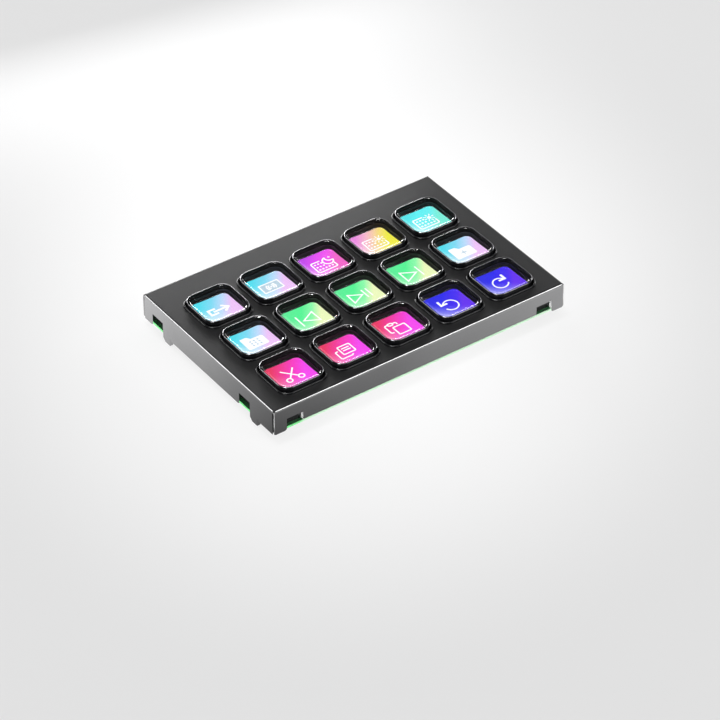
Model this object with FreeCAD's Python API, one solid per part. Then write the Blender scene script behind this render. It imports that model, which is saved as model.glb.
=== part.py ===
import FreeCAD, Part
import math
import os

os.makedirs("parts", exist_ok=True)

# Sizes of the folded cover, in millimetres
sheet = 1.2
bend_radius = 0.8
tab_drop = 2.2
foot_drop = 0.7
notch_rise = 2.95

# Corner seams and relief holes of the cover
seam_gap = 0.75
relief_radius = 0.42
relief_inset = 0.5

# Notches, feet and hanging tabs of the cover
long_notch_near_end = 4.85
long_notch_width = 6.05
foot_round = 0.9
side_notch_rear_from_edge = 5.3
side_notch_front_from_edge = 13.1
side_notch_width = 5.9
tab_width = 3.9
tab_bevel = 1.2
tab_slit_width = 0.5
tab_slit_depth = 0.5

# Key grid and the room left round it
columns = 5
rows = 3
dome_gap = 0.85
front_room = 1.15
standoff_room = 0.35
link_side_room = 2.025

# Clear key caps
cap_half = 8.2
cap_corner = 3.1
cap_rise = 2.0
cap_edge_bevel = 0.3
dish_rim = 0.5
dish_slope = 0.75
dish_depth = 0.4
window_thickness = 3.4
skirt_wall = 0.5
flange_width = 1.1
flange_thickness = 0.8
key_travel = 0.9
stop_gap = 0.1

# Black guide frame with its raised lips
lip_gap = 0.3
lip_wall = 0.45
lip_rise = 0.5
lip_bevel = 0.2
frame_thickness = 1.2
frame_rim = 0.8
frame_corner = 2.0
post_gap = 0.25
seat_gap = 0.05
wall_gap = 0.1

# Rubber domes and their sheet
dome_height = 1.8
dome_wall = 0.5
dome_flare = 0.7
dome_top_inset = 0.3
dome_sheet_thickness = 0.4
sheet_window_inset = 0.8

# Display tiles
tile_gap = 0.3
glass_thickness = 0.5
glass_inset = 0.2
tile_thickness = 2.0

# Boards and display carrier
board_thickness = 0.8
switch_board_thickness = 0.8
carrier_height = 1.4
pedestal_inset = 0.3
pedestal_gap = 0.4
pedestal_wall = 0.8
carrier_gap = 0.4
stack_inset = 0.3

# Standoffs, screws and their holes
clamp_standoff_radius = 1.5
clamp_thread_radius = 0.8
mount_standoff_radius = 1.5
mount_thread_radius = 0.85
mount_standoff_from_end = 8.6
standoff_hole_gap = 0.15
board_hole_gap = 0.2
screw_fit = 0.05
screw_head_radius = 1.45
screw_head_height = 0.9
screw_bevel_share = 0.25
screw_grip = 4.0
screw_slot_width = 0.4
screw_slot_depth = 0.45
screw_slot_length = 1.8

# Socket for the cable, held in a cut of the main board
socket_width = 8.94
socket_height = 2.9
socket_depth = 7.3
socket_shell = 0.3
socket_gap = 0.1
socket_ear_width = 1.2
socket_ear_length = 1.6
socket_ear_inset = 1.6
tongue_side_room = 1.12
tongue_thickness = 0.7
tongue_end_room = 1.0
socket_back_wall = 0.8

# Parts under the main board
processor_size = 7.0
processor_height = 0.9
memory_length = 6.0
memory_width = 4.9
memory_height = 1.1
memory_spacing = 15.2
chip_bevel_share = 0.25
small_length = 1.6
small_width = 0.8
small_height = 0.5
small_pitch = 2.6
small_count = 7
small_row_gap = 2.6
link_length = 30.0
link_width = 3.6
link_header_width = 2.4
chip_foot_gap = 0.02

# Heights, measured up from the tips of the hanging tabs
foot_bottom = tab_drop
board_bottom = foot_bottom + foot_drop
board_top = board_bottom + board_thickness
notch_top = board_top + notch_rise
switch_under = board_top + carrier_height
switch_top = switch_under + switch_board_thickness
dome_foot = switch_top + dome_sheet_thickness
flange_under = dome_foot + dome_height
flange_top = flange_under + flange_thickness
frame_under = flange_top + seat_gap
frame_top = frame_under + frame_thickness
cover_under = frame_top + seat_gap
top = cover_under + sheet
cap_top = top + cap_rise
window_under = cap_top - window_thickness
glass_top = window_under - key_travel - stop_gap
tile_under = glass_top - tile_thickness

# Plan sizes, from the caps out to the cover's edges
dome_reach = flange_width - dome_top_inset + dome_flare
key_pitch = 2 * (cap_half + dome_reach) + dome_gap
wall_depth = sheet + wall_gap + frame_rim
side_margin = dome_reach + 2 * standoff_room + 2 * mount_standoff_radius + wall_depth
front_margin = dome_reach + front_room + wall_depth
rear_margin = dome_reach + 2 * link_side_room + link_width + stack_inset + wall_depth
cover_length = (columns - 1) * key_pitch + 2 * (cap_half + side_margin)
cover_width = (rows - 1) * key_pitch + 2 * cap_half + front_margin + rear_margin
grid_shift_y = (front_margin - rear_margin) / 2
half_length = cover_length / 2
half_width = cover_width / 2
skirt_half = cap_half - skirt_wall
flange_half = cap_half + flange_width
lip_inner = cap_half + lip_gap
lip_inner_corner = cap_corner + lip_gap
lip_outer = lip_inner + lip_wall
lip_outer_corner = lip_inner_corner + lip_wall
tile_half = skirt_half - tile_gap
tile_corner = cap_corner - skirt_wall - tile_gap
pedestal_half = tile_half - pedestal_inset
pedestal_corner = tile_corner - pedestal_inset
frame_half_x = half_length - sheet - wall_gap
frame_half_y = half_width - sheet - wall_gap
stack_half_x = frame_half_x - frame_rim - stack_inset
stack_half_y = frame_half_y - frame_rim - stack_inset
dome_foot_half = cap_half + dome_reach
dome_foot_corner = cap_corner + dome_reach
corner_room = (key_pitch / 2 - cap_half + cap_corner) * math.sqrt(2) - dome_foot_corner
mount_x = half_length - wall_depth - standoff_room - mount_standoff_radius
mount_y = half_width - mount_standoff_from_end
tongue_width = socket_width - 2 * tongue_side_room
tongue_length = socket_depth - socket_shell - socket_back_wall - tongue_end_room


def vec(x, y, z):
    return FreeCAD.Vector(x, y, z)


def key_centres():
    # From the left key of the back row to the right key of the front row
    centres = []
    for row in range(rows):
        for column in range(columns):
            x = (column - (columns - 1) / 2) * key_pitch
            y = grid_shift_y + ((rows - 1) / 2 - row) * key_pitch
            centres.append((x, y))
    return centres


def crossing_points():
    # Points where the corners of four key wells meet
    points = []
    for row in range(rows - 1):
        for column in range(columns - 1):
            x = (column - (columns - 2) / 2) * key_pitch
            y = grid_shift_y + ((rows - 2) / 2 - row) * key_pitch
            points.append((x, y))
    return points


def clamp_points():
    outer = (columns - 2) / 2 * key_pitch
    return [p for p in crossing_points() if abs(abs(p[0]) - outer) < relief_radius]


def mount_points():
    return [(sx * mount_x, sy * mount_y) for sx in (-1, 1) for sy in (-1, 1)]


def outline(x, y, half_x, half_y, corner, z):
    # Closed rounded rectangle, four straight edges and four arcs
    edges = []
    inner_x = half_x - corner
    inner_y = half_y - corner
    for quarter in range(4):
        a0 = quarter * math.pi / 2
        a1 = a0 + math.pi / 4
        a2 = a0 + math.pi / 2
        sx = (1, -1, -1, 1)[quarter]
        sy = (1, 1, -1, -1)[quarter]
        cx = x + sx * inner_x
        cy = y + sy * inner_y
        arc = [vec(cx + corner * math.cos(a), cy + corner * math.sin(a), z) for a in (a0, a1, a2)]
        edges.append(Part.Arc(arc[0], arc[1], arc[2]).toShape())
        nx = x + (1, -1, -1, 1)[(quarter + 1) % 4] * inner_x
        ny = y + (1, 1, -1, -1)[(quarter + 1) % 4] * inner_y
        following = vec(nx + corner * math.cos(a2), ny + corner * math.sin(a2), z)
        edges.append(Part.LineSegment(arc[2], following).toShape())
    return Part.Wire(edges)


def slab(x, y, half_x, half_y, corner, low, high):
    face = Part.Face(outline(x, y, half_x, half_y, corner, low))
    return face.extrude(vec(0, 0, high - low))


def taper(x, y, half_low, corner_low, low, half_high, corner_high, high):
    first = outline(x, y, half_low, half_low, corner_low, low)
    last = outline(x, y, half_high, half_high, corner_high, high)
    return Part.makeLoft([first, last], True, True)


def block(x0, x1, y0, y1, z0, z1):
    return Part.makeBox(x1 - x0, y1 - y0, z1 - z0, vec(x0, y0, z0))


def rod(x, y, radius, low, high):
    return Part.makeCylinder(radius, high - low, vec(x, y, low))


def prism(points, direction):
    corners = [vec(*p) for p in points]
    return Part.Face(Part.makePolygon(corners + corners[:1])).extrude(direction)


def group(solids):
    return Part.makeCompound(solids)


def sheet_tray():
    # Flat sheet with its four edges bent down over a rounded outer edge
    body = block(-half_length, half_length, -half_width, half_width, 0, top)
    edges = []
    for edge in body.Edges:
        box = edge.BoundBox
        if box.ZMin > cover_under:
            edges.append(edge)
    body = body.makeFillet(bend_radius, edges)
    hollow = block(
        -half_length + sheet, half_length - sheet,
        -half_width + sheet, half_width - sheet, -sheet, cover_under)
    return body.cut(hollow)


def wall_zone(long_side):
    # Room of one wall in plan, mitred at both ends, in the wall's own axes
    along = half_length if long_side else half_width
    deep = half_width if long_side else half_length
    reach = sheet + wall_gap
    plan = [
        (-along - sheet, -deep - sheet, -sheet), (along + sheet, -deep - sheet, -sheet),
        (along - reach, -deep + reach, -sheet), (-along + reach, -deep + reach, -sheet)]
    return prism(plan, vec(0, 0, cover_under + sheet))


def silhouette(points, rounds, deep):
    # Outline of one wall seen from outside, with its rounded lower corners
    face = Part.Face(Part.makePolygon([vec(a, 0, z) for a, z in points + points[:1]]))
    solid = face.extrude(vec(0, 2 * (sheet + wall_gap), 0))
    edges = []
    for edge in solid.Edges:
        start, end = edge.Vertexes[0].Point, edge.Vertexes[-1].Point
        for a, z in rounds:
            upright = abs(start.x - a) < relief_radius / 2 and abs(start.z - z) < relief_radius / 2
            if upright and abs(start.x - end.x) + abs(start.z - end.z) < relief_radius / 2:
                edges.append(edge)
    solid = solid.makeFillet(foot_round, edges)
    solid.translate(vec(0, -deep - sheet, 0))
    return solid


def long_wall_outline():
    end = half_length
    outer = end - long_notch_near_end
    inner = outer - long_notch_width
    right = [
        (inner, board_top), (inner, notch_top), (outer, notch_top),
        (outer, foot_bottom), (end, foot_bottom), (end, top)]
    left = [(-a, z) for a, z in reversed(right)]
    rounds = [(sign * a, foot_bottom) for sign in (-1, 1) for a in (outer, end)]
    return left + right, rounds


def side_wall_outline():
    # Measured along the wall from its front end to its rear end
    end = half_width
    rear_a = end - side_notch_rear_from_edge
    rear_b = rear_a - side_notch_width
    rear_c = rear_b - tab_width
    front_a = -end + side_notch_front_from_edge + side_notch_width
    front_b = front_a - side_notch_width
    front_c = front_b - tab_width
    slit_top = foot_bottom + tab_slit_depth
    points = [(end, top), (end, foot_bottom)]
    for a, b, c in ((rear_a, rear_b, rear_c), (front_a, front_b, front_c)):
        points += [
            (a, foot_bottom), (a, notch_top), (b, notch_top),
            (b, tab_bevel), (b - tab_bevel, 0), (c, 0), (c, slit_top),
            (c - tab_slit_width, slit_top), (c - tab_slit_width, foot_bottom)]
    points += [(-end, foot_bottom), (-end, top)]
    rounds = [(end, foot_bottom), (rear_a, foot_bottom), (front_a, foot_bottom), (-end, foot_bottom)]
    return points, rounds


def turned(solid, quarter):
    copy = solid.copy()
    copy.rotate(vec(0, 0, 0), vec(0, 0, 1), 90 * quarter)
    return copy


def flipped(solid, axis):
    return solid.mirror(vec(0, 0, 0), axis)


def top_cover():
    # Skilful feature: one sheet, blanked, notched and bent down on all four sides
    cover = sheet_tray()
    long_points, long_rounds = long_wall_outline()
    front_waste = wall_zone(True).cut(silhouette(long_points, long_rounds, half_width))
    side_points, side_rounds = side_wall_outline()
    side_waste = wall_zone(False).cut(silhouette(side_points, side_rounds, half_length))
    right_waste = turned(side_waste, 1)
    left_waste = flipped(right_waste, vec(1, 0, 0))
    waste = [front_waste, flipped(front_waste, vec(0, 1, 0)), left_waste, right_waste]
    reach = 2 * sheet
    seam = prism([
        (-half_length - reach, -half_width - reach, -sheet),
        (-half_length + reach, -half_width + reach, -sheet),
        (-half_length + reach, -half_width + reach + seam_gap, -sheet),
        (-half_length - reach, -half_width - reach + seam_gap, -sheet)],
        vec(0, 0, sheet + top - bend_radius))
    inset_x = half_length - relief_inset
    inset_y = half_width - relief_inset
    relief = rod(-inset_x, -inset_y, relief_radius, top - 2 * sheet, top + sheet)
    corner = [seam, relief]
    for solid in corner:
        rear = flipped(solid, vec(0, 1, 0))
        waste += [solid, rear, flipped(solid, vec(1, 0, 0)), flipped(rear, vec(1, 0, 0))]
    opening = lip_outer + wall_gap
    for x, y in key_centres():
        waste.append(slab(x, y, opening, opening, lip_outer_corner + wall_gap, cover_under - sheet, top + sheet))
    return cover.cut(waste)


def guide_frame():
    # Moulded frame under the cover: plate, rim, posts and one lip round each key
    frame = slab(0, 0, frame_half_x, frame_half_y, frame_corner, board_top, frame_top)
    rim_x = frame_half_x - frame_rim
    rim_y = frame_half_y - frame_rim
    frame = frame.cut(slab(0, 0, rim_x, rim_y, frame_corner - frame_rim, board_top - sheet, frame_under))
    solids = []
    hollows = []
    lip_top = top + lip_rise
    for x, y in key_centres():
        solids.append(slab(x, y, lip_outer, lip_outer, lip_outer_corner, frame_under, lip_top - lip_bevel))
        solids.append(taper(
            x, y, lip_outer, lip_outer_corner, lip_top - lip_bevel,
            lip_outer - lip_bevel, lip_outer_corner - lip_bevel, lip_top))
        hollows.append(slab(x, y, lip_inner, lip_inner, lip_inner_corner, board_top, lip_top + sheet))
    post_radius = corner_room - post_gap
    bored = clamp_points()
    for x, y in crossing_points():
        solids.append(rod(x, y, post_radius, dome_foot, frame_under))
    for x, y in bored:
        hollows.append(rod(x, y, clamp_standoff_radius + standoff_hole_gap, board_top, frame_top + sheet))
    for x, y in mount_points():
        hollows.append(rod(x, y, mount_standoff_radius + standoff_hole_gap, frame_under - sheet, frame_top + sheet))
    return frame.fuse(solids).cut(hollows)


def key_cap(x, y):
    # Clear window block, hollow skirt and the flange that stops under the frame
    body = slab(x, y, cap_half, cap_half, cap_corner, flange_under, cap_top - cap_edge_bevel)
    body = body.fuse(taper(
        x, y, cap_half, cap_corner, cap_top - cap_edge_bevel,
        cap_half - cap_edge_bevel, cap_corner - cap_edge_bevel, cap_top))
    flange = slab(x, y, flange_half, flange_half, cap_corner + flange_width, flange_under, flange_top)
    body = body.fuse(flange)
    skirt = slab(x, y, skirt_half, skirt_half, cap_corner - skirt_wall, flange_under - sheet, window_under)
    rim = cap_half - cap_edge_bevel - dish_rim
    rim_corner = cap_corner - cap_edge_bevel - dish_rim
    floor = rim - dish_slope
    floor_corner = rim_corner - dish_slope
    dish = taper(x, y, floor, floor_corner, cap_top - dish_depth, rim, rim_corner, cap_top)
    return body.cut([skirt, dish])


def dome(x, y):
    # Thin flaring ring of rubber that lifts the cap and buckles under it
    high_half = flange_half - dome_top_inset
    high_corner = cap_corner + flange_width - dome_top_inset
    outer = taper(x, y, dome_foot_half, dome_foot_corner, dome_foot, high_half, high_corner, flange_under)
    inner = taper(
        x, y, dome_foot_half - dome_wall, dome_foot_corner - dome_wall, dome_foot,
        high_half - dome_wall, high_corner - dome_wall, flange_under)
    return outer.cut(inner)


def display(x, y):
    # Small display module: metal tray with the cover glass standing proud
    tray = slab(x, y, tile_half, tile_half, tile_corner, tile_under, glass_top - glass_thickness)
    glass_half = tile_half - glass_inset
    glass_corner = tile_corner - glass_inset
    glass = slab(x, y, glass_half, glass_half, glass_corner, glass_top - glass_thickness, glass_top)
    return tray.fuse(glass)


def standoff_slots(low, high):
    # Slots open to the side edges, which clear the mounting standoffs
    room = mount_standoff_radius + standoff_hole_gap
    cuts = []
    for x, y in mount_points():
        edge = math.copysign(half_length, x)
        cuts.append(rod(x, y, room, low, high))
        cuts.append(block(min(x, edge), max(x, edge), y - room, y + room, low, high))
    return cuts


def stack_sheet(low, high, window, window_corner):
    # One flat layer of the inner stack with its windows and standoff holes
    layer = slab(0, 0, stack_half_x, stack_half_y, cap_corner, low, high)
    holes = [slab(x, y, window, window, window_corner, low - sheet, high + sheet) for x, y in key_centres()]
    clearance = clamp_standoff_radius + standoff_hole_gap
    for x, y in clamp_points():
        holes.append(rod(x, y, clearance, low - sheet, high + sheet))
    return layer.cut(holes + standoff_slots(low - sheet, high + sheet))


def dome_sheet():
    window = dome_foot_half - dome_wall - sheet_window_inset
    return stack_sheet(switch_top, dome_foot, window, cap_corner)


def switch_board():
    window = pedestal_half + pedestal_gap
    return stack_sheet(switch_under, switch_top, window, pedestal_corner + pedestal_gap)


def display_carrier():
    # Moulded tray with a hollow pedestal under each display and feet on the board
    low = board_top + carrier_gap
    high = switch_under - seat_gap
    inner = pedestal_half - pedestal_wall
    inner_corner = pedestal_corner - pedestal_wall
    plate = slab(0, 0, stack_half_x, stack_half_y, cap_corner, board_top, high)
    under_x = stack_half_x - pedestal_wall
    under_y = stack_half_y - pedestal_wall
    plate = plate.cut(slab(0, 0, under_x, under_y, cap_corner - pedestal_wall, board_top - sheet, low))
    stands = []
    holes = []
    for x, y in key_centres():
        stands.append(slab(x, y, pedestal_half, pedestal_half, pedestal_corner, low, tile_under))
        holes.append(slab(x, y, inner, inner, inner_corner, board_top, tile_under - pedestal_wall))
    clearance = clamp_standoff_radius + standoff_hole_gap
    for x, y in clamp_points():
        holes.append(rod(x, y, clearance, board_top - sheet, high + sheet))
    holes += standoff_slots(board_top - sheet, high + sheet)
    return plate.fuse(stands).cut(holes + [link_room(wall_gap)])


def link_y():
    back_domes = grid_shift_y + (rows - 1) / 2 * key_pitch + dome_foot_half
    return back_domes + link_side_room + link_width / 2


def link_room(gap):
    y = link_y()
    return block(
        -link_length / 2 - gap, link_length / 2 + gap,
        y - link_width / 2 - gap, y + link_width / 2 + gap, board_top, switch_under)


def board_link():
    # Plug and header that carry the switch lines down to the main board
    y = link_y()
    middle = (board_top + switch_under) / 2
    header = block(
        -link_length / 2, link_length / 2, y - link_width / 2, y + link_width / 2, board_top, middle)
    plug = block(
        -link_length / 2 + wall_gap, link_length / 2 - wall_gap,
        y - link_header_width / 2, y + link_header_width / 2, middle, switch_under)
    return header.fuse(plug)


def socket_corner():
    return socket_height / 2 - wall_gap


def main_board():
    # The long edges lie under the long walls, short tabs stand in the side notches
    long_x = half_length - long_notch_near_end - wall_gap
    inner_x = half_length - sheet - wall_gap
    inner_y = half_width - sheet - wall_gap
    board = block(-long_x, long_x, -half_width, half_width, board_bottom, board_top)
    board = board.fuse(block(-inner_x, inner_x, -inner_y, inner_y, board_bottom, board_top))
    tabs = []
    rear = half_width - side_notch_rear_from_edge
    front = -half_width + side_notch_front_from_edge + side_notch_width
    for high_y in (rear, front):
        tabs.append(block(
            -half_length, half_length, high_y - side_notch_width + wall_gap, high_y - wall_gap,
            board_bottom, board_top))
    holes = []
    for x, y in clamp_points():
        holes.append(rod(x, y, clamp_thread_radius + board_hole_gap, board_bottom - sheet, board_top + sheet))
    for x, y in mount_points():
        holes.append(rod(x, y, mount_thread_radius + board_hole_gap, board_bottom - sheet, board_top + sheet))
    back = half_width - socket_depth - socket_gap
    side = socket_width / 2 + socket_gap
    holes.append(block(-side, side, back, half_width + sheet, board_bottom - sheet, board_top + sheet))
    return board.fuse(tabs).cut(holes)


def socket_middle():
    return board_top - socket_gap - socket_height / 2


def socket_outline(inset, y0, y1):
    corner = socket_corner() - inset
    half_x = socket_width / 2 - inset
    half_z = socket_height / 2 - inset
    solid = slab(0, 0, half_x, half_z, corner, 0, y1 - y0)
    solid.rotate(vec(0, 0, 0), vec(1, 0, 0), 90)
    solid.translate(vec(0, y1, socket_middle()))
    return solid


def usb_shell():
    # Drawn metal shell, open to the rear, with four ears soldered under the board
    back = half_width - socket_depth
    shell = socket_outline(0, back, half_width)
    ears = []
    reach = socket_width / 2 + socket_ear_width
    for first in (back + socket_ear_inset, half_width - socket_ear_inset - socket_ear_length):
        ears.append(block(
            -reach, reach, first, first + socket_ear_length, board_bottom - socket_shell, board_bottom))
    return shell.fuse(ears).cut(socket_outline(socket_shell, back + socket_shell, half_width + sheet))


def usb_tongue():
    # Plastic base that fills the shell's inner end, with the contact tongue
    back = half_width - socket_depth + socket_shell
    base = socket_outline(socket_shell + chip_foot_gap, back + chip_foot_gap, back + socket_back_wall)
    tongue = block(
        -tongue_width / 2, tongue_width / 2, back + chip_foot_gap, back + socket_back_wall + tongue_length,
        socket_middle() - tongue_thickness / 2, socket_middle() + tongue_thickness / 2)
    return base.fuse(tongue)


def chip(x, y, length, width, height):
    # Flat package under the main board with a bevelled lower face
    bevel = height * chip_bevel_share
    low = board_bottom - height
    body = block(x - length / 2, x + length / 2, y - width / 2, y + width / 2, low, board_bottom)
    edges = []
    for edge in body.Edges:
        if edge.BoundBox.ZMax < low + bevel:
            edges.append(edge)
    return body.makeChamfer(bevel, edges)


def processor_chip():
    return chip(0, grid_shift_y, processor_size, processor_size, processor_height)


def memory_chip():
    return chip(-memory_spacing, grid_shift_y, memory_length, memory_width, memory_height)


def board_passives():
    # Rows of small resistors and capacitors beside the processor
    low = board_bottom - small_height
    parts = []
    for side in (-1, 1):
        y = grid_shift_y + side * (processor_size / 2 + small_row_gap)
        for place in range(small_count):
            x = (place - (small_count - 1) / 2) * small_pitch
            parts.append(block(
                x - small_length / 2, x + small_length / 2, y - small_width / 2, y + small_width / 2,
                low, board_bottom))
    return group(parts)


def standoffs(points, radius, bore):
    # Turned standoffs welded under the cover, threaded from below
    parts = []
    for x, y in points:
        tube = rod(x, y, radius, board_top, cover_under)
        parts.append(tube.cut(rod(x, y, bore, board_top - sheet, cover_under - sheet)))
    return group(parts)


def clamp_screws():
    # Pan head screws that clamp the boards up into the cover
    parts = []
    shank = clamp_thread_radius - screw_fit
    for x, y in clamp_points():
        low = board_bottom - screw_head_height
        head = rod(x, y, screw_head_radius, low, board_bottom)
        edges = [e for e in head.Edges if e.BoundBox.ZMax < low + screw_fit]
        head = head.makeChamfer(screw_head_height * screw_bevel_share, edges)
        body = head.fuse(rod(x, y, shank, board_bottom, board_top + screw_grip))
        for angle in (0, 90):
            slot = block(
                -screw_slot_length / 2, screw_slot_length / 2, -screw_slot_width / 2, screw_slot_width / 2,
                -screw_slot_depth, screw_slot_depth)
            slot.rotate(vec(0, 0, 0), vec(0, 0, 1), angle)
            slot.translate(vec(x, y, low))
            body = body.cut(slot)
        parts.append(body)
    return group(parts)


def write(name, shape):
    shape.exportStep(os.path.join("parts", name + ".step"))


write("top_cover", top_cover())
write("guide_frame", guide_frame())
write("dome_sheet", dome_sheet())
write("switch_board", switch_board())
write("display_carrier", display_carrier())
write("board_link", board_link())
write("main_board", main_board())
write("usb_shell", usb_shell())
write("usb_tongue", usb_tongue())
write("processor_chip", processor_chip())
write("memory_chip", memory_chip())
write("board_passives", board_passives())
write("clamp_standoffs", standoffs(clamp_points(), clamp_standoff_radius, clamp_thread_radius))
write("mount_standoffs", standoffs(mount_points(), mount_standoff_radius, mount_thread_radius))
write("clamp_screws", clamp_screws())
for number, (key_x, key_y) in enumerate(key_centres(), 1):
    suffix = "_%02d" % number
    write("key_cap" + suffix, key_cap(key_x, key_y))
    write("dome" + suffix, dome(key_x, key_y))
    write("display" + suffix, display(key_x, key_y))
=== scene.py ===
import math

import bmesh
import bpy
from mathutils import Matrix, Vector


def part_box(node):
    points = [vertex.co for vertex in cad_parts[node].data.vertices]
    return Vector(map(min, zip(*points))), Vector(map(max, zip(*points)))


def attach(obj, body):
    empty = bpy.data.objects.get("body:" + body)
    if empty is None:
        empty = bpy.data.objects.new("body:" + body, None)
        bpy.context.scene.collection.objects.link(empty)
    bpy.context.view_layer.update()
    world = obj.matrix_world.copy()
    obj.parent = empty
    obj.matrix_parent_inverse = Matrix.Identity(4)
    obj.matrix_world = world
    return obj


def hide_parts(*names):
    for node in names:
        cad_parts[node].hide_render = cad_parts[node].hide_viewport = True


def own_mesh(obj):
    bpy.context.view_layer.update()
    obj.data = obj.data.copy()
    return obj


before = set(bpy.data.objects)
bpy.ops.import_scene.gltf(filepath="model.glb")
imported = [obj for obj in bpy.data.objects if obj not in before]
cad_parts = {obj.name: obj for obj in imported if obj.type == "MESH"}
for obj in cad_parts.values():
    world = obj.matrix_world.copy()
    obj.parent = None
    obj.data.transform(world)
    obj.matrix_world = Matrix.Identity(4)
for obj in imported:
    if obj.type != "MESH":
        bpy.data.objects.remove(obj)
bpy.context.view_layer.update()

mm = 0.001


# Folded cover. One sheet of nickel-grey steel, blanked, notched and bent down on all four sides.
# A black satin coat covers the flat top only, so the bends and the walls stay bare metal
# with a fine blasted grain and faint rolling lines along each wall.

cover_low, cover_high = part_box("top_cover")
plate_top = cover_high.z
coat_edge = plate_top - 0.16 * mm
coat_fade = 0.05 * mm
coat_black = (0.007, 0.007, 0.0075, 1)
bare_metal = (0.40, 0.40, 0.405, 1)
# Painted highlight: a pale matt colour for the notch cut edges and the wall ends beside the seams
painted_highlight_pale = (0.9, 0.9, 0.9, 1)
squarely = 0.9  # how nearly a face has to look straight along an axis
end_margin = 2 * mm
outer_skin = 0.1 * mm
# The painted highlight beside each seam: its strip, its fade up from the foot, and its share
seam_highlight_strip = (cover_high.x - 0.42 * mm, cover_high.x - 0.26 * mm)
seam_highlight_fade = (2.6 * mm, 6.0 * mm)
seam_highlight_share = 0.55
wall_lines = (350, 350, 9000)  # noise cells per metre
bead_section = [(0.55, 0.06), (0.68, 0.16), (0.75, 0.30), (0.75, 0.45), (0.68, 0.59), (0.55, 0.69),
                (1.24, 0.69), (1.24, 0.06)]  # mm in from the walls' outer faces
bead_levels = [(2.32, 0.12), (2.5, 0.0), (10.1, 0.0)]  # height, and how far the section is drawn in
four_ways = [(x, y) for x in (-1, 1) for y in (-1, 1)]


def put(tree, value, socket):
    # A node stands for its first output
    if isinstance(value, bpy.types.Node):
        value = value.outputs[0]
    if isinstance(value, bpy.types.NodeSocket):
        tree.links.new(value, socket)
    else:
        socket.default_value = value


def add(tree, kind, inputs=None, **settings):
    made = tree.nodes.new(kind)
    for key, value in settings.items():
        setattr(made, key, value)
    for key, value in (inputs or {}).items():
        put(tree, value, made.inputs[key])
    return made


def maths(tree, operation, *values, **settings):
    return add(tree, "ShaderNodeMath", dict(enumerate(values)), operation=operation, **settings)


def vectors(tree, operation, *values, **named):
    return add(tree, "ShaderNodeVectorMath", {**dict(enumerate(values)), **named}, operation=operation)


def split(tree, vector):
    return add(tree, "ShaderNodeSeparateXYZ", {0: vector}).outputs


def noise(tree, vector, scale, **more):
    return add(tree, "ShaderNodeTexNoise", {"Vector": vector, "Scale": scale, **more}).outputs["Fac"]


def ranged(tree, value, source, result=(0.0, 1.0), kind="LINEAR"):
    return add(tree, "ShaderNodeMapRange", {
        "Value": value, "From Min": source[0], "From Max": source[1],
        "To Min": result[0], "To Max": result[1]}, interpolation_type=kind)


def all_of(tree, first, *others):
    for other in others:
        first = maths(tree, "MULTIPLY", first, other)
    return first


def mixed(tree, mask, first, last, kind="RGBA"):
    a, b, result = {"RGBA": (6, 7, 2), "FLOAT": (2, 3, 0)}[kind]
    return add(tree, "ShaderNodeMix", {0: mask, a: first, b: last}, data_type=kind).outputs[result]


def shaded(tree, colour, shade):
    base = colour[:3] if isinstance(colour, tuple) else colour
    return vectors(tree, "SCALE", base, Scale=shade)


def bumped(tree, height, depth):
    return add(tree, "ShaderNodeBump", {"Height": height, "Distance": depth})


def finish_named(name):
    material = bpy.data.materials.new(name)
    material.use_nodes = True
    return material, material.node_tree


def feed(tree, **sockets):
    shader = tree.nodes["Principled BSDF"]
    for label, value in sockets.items():
        put(tree, value, shader.inputs[label.replace("_", " ").title().replace("Ior", "IOR")])


def node_group(kind, name, inputs, outputs):
    # Each input gives the value to start from, or else the kind of its socket
    group = bpy.data.node_groups.new(name, kind + "NodeTree")
    for label, value in inputs.items():
        sort = value if isinstance(value, str) else "Vector" if isinstance(value, tuple) else "Float"
        socket = group.interface.new_socket(label, in_out="INPUT", socket_type="NodeSocket" + sort)
        if sort != value:
            socket.default_value = value
    for label, sort in outputs.items():
        group.interface.new_socket(label, in_out="OUTPUT", socket_type="NodeSocket" + sort)
    return group, group.nodes.new("NodeGroupInput").outputs, group.nodes.new("NodeGroupOutput").inputs


# The grain of a cast, blasted or moulded surface: a fine height and a slow change of shade.
grain, grain_in, grain_out = node_group(
    "Shader", "surface_grain",
    {"Vector": (0, 0, 0), "Grains per mm": 4.0, "Clouds per mm": 0.08, "Shade spread": 0.1},
    {"Height": "Float", "Shade": "Float"})
in_mm = vectors(grain, "SCALE", grain_in["Vector"], Scale=1 / mm)
slow = noise(grain, in_mm, grain_in["Clouds per mm"], Detail=2.0)
shift = maths(grain, "SUBTRACT", slow, 0.5)
put(grain, noise(grain, in_mm, grain_in["Grains per mm"], Detail=3.0, Roughness=0.6), grain_out["Height"])
put(grain, maths(grain, "MULTIPLY_ADD", shift, grain_in["Shade spread"], 1.0), grain_out["Shade"])


def grained(tree, per_mm, clouds, spread):
    place = add(tree, "ShaderNodeTexCoord").outputs["Object"]
    made = add(tree, "ShaderNodeGroup", node_tree=grain)
    for label, value in (("Vector", place), ("Grains per mm", per_mm), ("Clouds per mm", clouds),
                         ("Shade spread", spread)):
        put(tree, value, made.inputs[label])
    return place, made.outputs["Height"], made.outputs["Shade"]


def lined(tree, place, per_m, detail):
    # Noise drawn out into lines, as rolling, drawing and turning leave them
    drawn = add(tree, "ShaderNodeMapping", {"Vector": place, "Scale": per_m})
    return noise(tree, drawn, 1.0, Detail=detail)


def surface(name, grains, colour, dull, relief=0.0, lines=None, detail=3.0, **more):
    # A plain finish: its grain, colour, range of roughness, relief in mm and any lines along it
    material, tree = finish_named(name)
    place, height, shade = grained(tree, *grains)
    if lines:
        height = lined(tree, place, lines, detail)
    feed(tree, base_color=shaded(tree, colour, shade), roughness=ranged(tree, height, (0, 1), dull), **more)
    if relief:
        feed(tree, normal=bumped(tree, height, relief * mm))
    return material


def dress(node, material):
    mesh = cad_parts[node].data
    mesh.materials.clear()
    mesh.materials.append(material)


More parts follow.
